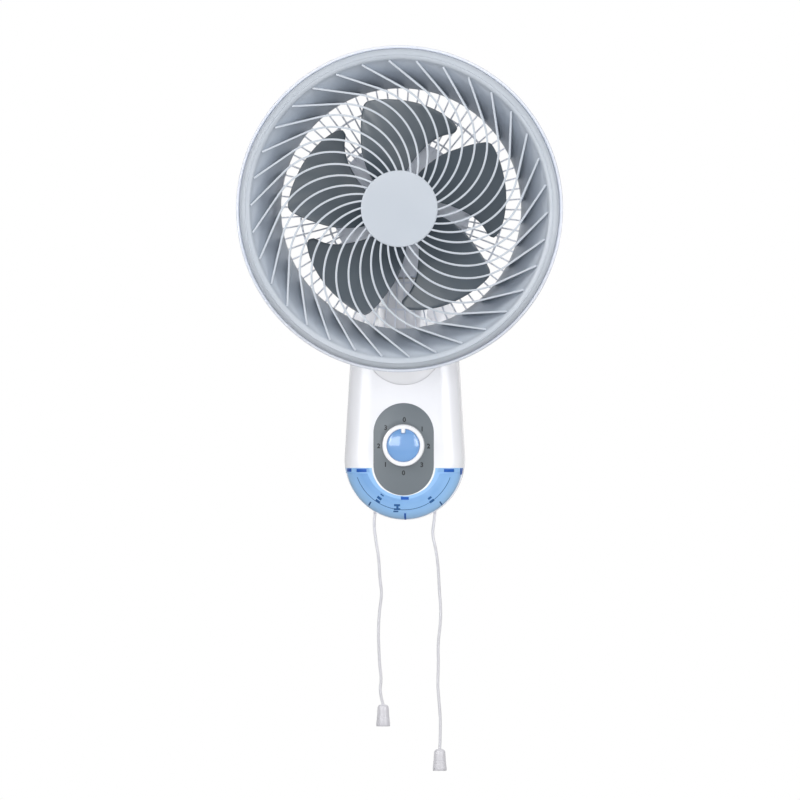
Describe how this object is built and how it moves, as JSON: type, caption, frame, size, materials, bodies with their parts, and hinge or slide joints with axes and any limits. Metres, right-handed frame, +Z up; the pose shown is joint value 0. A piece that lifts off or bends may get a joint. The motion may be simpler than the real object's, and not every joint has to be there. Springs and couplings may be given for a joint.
{
  "type": "wall mounted fan",
  "caption": "Wall mounted fan with a round spiral ribbed guard on a tilting, swinging neck, and a slim base with a rotary speed dial and pull cords.",
  "frame": {"origin": "middle of the four wall screws, on the wall plane", "axes": "+Z up the wall, +Y into the wall, the room and the air stream on the -Y side"},
  "size_m": [0.342, 0.224, 0.7627],
  "materials": {
    "white_plastic": "glossy white",
    "guard_white": "glossy white",
    "guard_grey": "satin light grey",
    "blade_slate": "glossy slate",
    "panel_grey": "satin grey with printed numbers",
    "blue_cover": "clear blue",
    "blue_cap": "glossy blue",
    "knob_white": "glossy white",
    "cord_white": "braided white",
    "inner_white": "natural white",
    "black_plastic": "matt black",
    "zinc_steel": "zinc plated",
    "lamination": "stacked steel sheet",
    "copper": "enamelled copper wire",
    "die_cast": "die cast",
    "bearing_bronze": "sintered bronze"
  },
  "bodies": {
    "base": {"wall_plate": "zinc_steel", "base_rear_shell": "white_plastic", "base_front_shell": "white_plastic", "dial_panel": "panel_grey", "lower_cover": "blue_cover", "shell_screws": "zinc_steel", "plate_screws": "zinc_steel", "tilt_yoke": "zinc_steel", "yoke_screws": "zinc_steel", "tilt_axle": "zinc_steel", "tilt_spring_washer": "zinc_steel", "tilt_nut": "zinc_steel", "speed_switch_body": "black_plastic", "switch_screws": "zinc_steel", "swing_switch_body": "black_plastic", "cord_eyelets": "white_plastic", "mains_grommet": "white_plastic", "terminal_block": "inner_white", "run_capacitor": "black_plastic"},
    "neck": {"neck_housing": "white_plastic", "tilt_hub": "inner_white", "hub_screws": "zinc_steel", "swing_post": "zinc_steel", "thrust_washer": "inner_white", "swing_gear": "inner_white"},
    "head": {"front_guard": "guard_grey", "rear_guard": "guard_white", "guard_nut": "inner_white", "motor_cover": "white_plastic", "cover_screws": "zinc_steel", "motor_front_shield": "die_cast", "motor_rear_shield": "die_cast", "motor_screws": "zinc_steel", "stator_core": "lamination", "stator_windings": "copper", "front_bearing": "bearing_bronze", "rear_bearing": "bearing_bronze", "swing_bush": "inner_white", "swing_motor": "zinc_steel"},
    "impeller": {"impeller": "blade_slate", "motor_shaft": "zinc_steel", "impeller_pin": "zinc_steel", "impeller_nut": "white_plastic", "rotor": "lamination"},
    "swing_pinion": {"swing_pinion": "inner_white"},
    "knob": {"knob_ring": "knob_white", "knob_cap": "blue_cap", "knob_spindle": "inner_white", "ratchet_wheel": "inner_white"},
    "speed_pull": {"speed_slider": "inner_white", "speed_spring": "zinc_steel", "speed_cord_inner": "cord_white", "speed_cord": "cord_white", "speed_bell": "white_plastic"},
    "swing_pull": {"swing_slider": "inner_white", "swing_spring": "zinc_steel", "swing_cord_inner": "cord_white", "swing_cord": "cord_white", "swing_bell": "white_plastic"}
  },
  "joints": [
    {"name": "tilt", "type": "hinge", "parent": "base", "child": "neck", "pos_m": [0, -0.048, 0.055], "axis": [1, 0, 0], "range_deg": [-5, 25]},
    {"name": "swing", "type": "hinge", "parent": "neck", "child": "head", "pos_m": [0, -0.104, 0.13], "axis": [0, 0, 1], "range_deg": [-35, 35]},
    {"name": "fan_spin", "type": "hinge", "parent": "head", "child": "impeller", "pos_m": [0, -0.18, 0.2], "axis": [0, -1, 0], "continuous": true},
    {"name": "pinion_spin", "type": "hinge", "parent": "head", "child": "swing_pinion", "pos_m": [0.02, -0.104, 0.1465], "axis": [0, 0, 1], "range_deg": [-83, 83]},
    {"name": "knob_spin", "type": "hinge", "parent": "base", "child": "knob", "pos_m": [0, -0.07, -0.049], "axis": [0, -1, 0], "continuous": true},
    {"name": "speed_pull_slide", "type": "slide", "parent": "base", "child": "speed_pull", "axis": [0, 0, -1], "range_m": [0, 0.012], "stiffness_N_per_m": 500, "springref_m": -0.004, "deforming": ["speed_spring"]},
    {"name": "swing_pull_slide", "type": "slide", "parent": "base", "child": "swing_pull", "axis": [0, 0, -1], "range_m": [0, 0.012], "stiffness_N_per_m": 500, "springref_m": -0.004, "deforming": ["swing_spring"]}
  ],
  "couplings": [
    {"joint": "pinion_spin", "follows": "swing", "ratio": 2.3333}
  ]
}
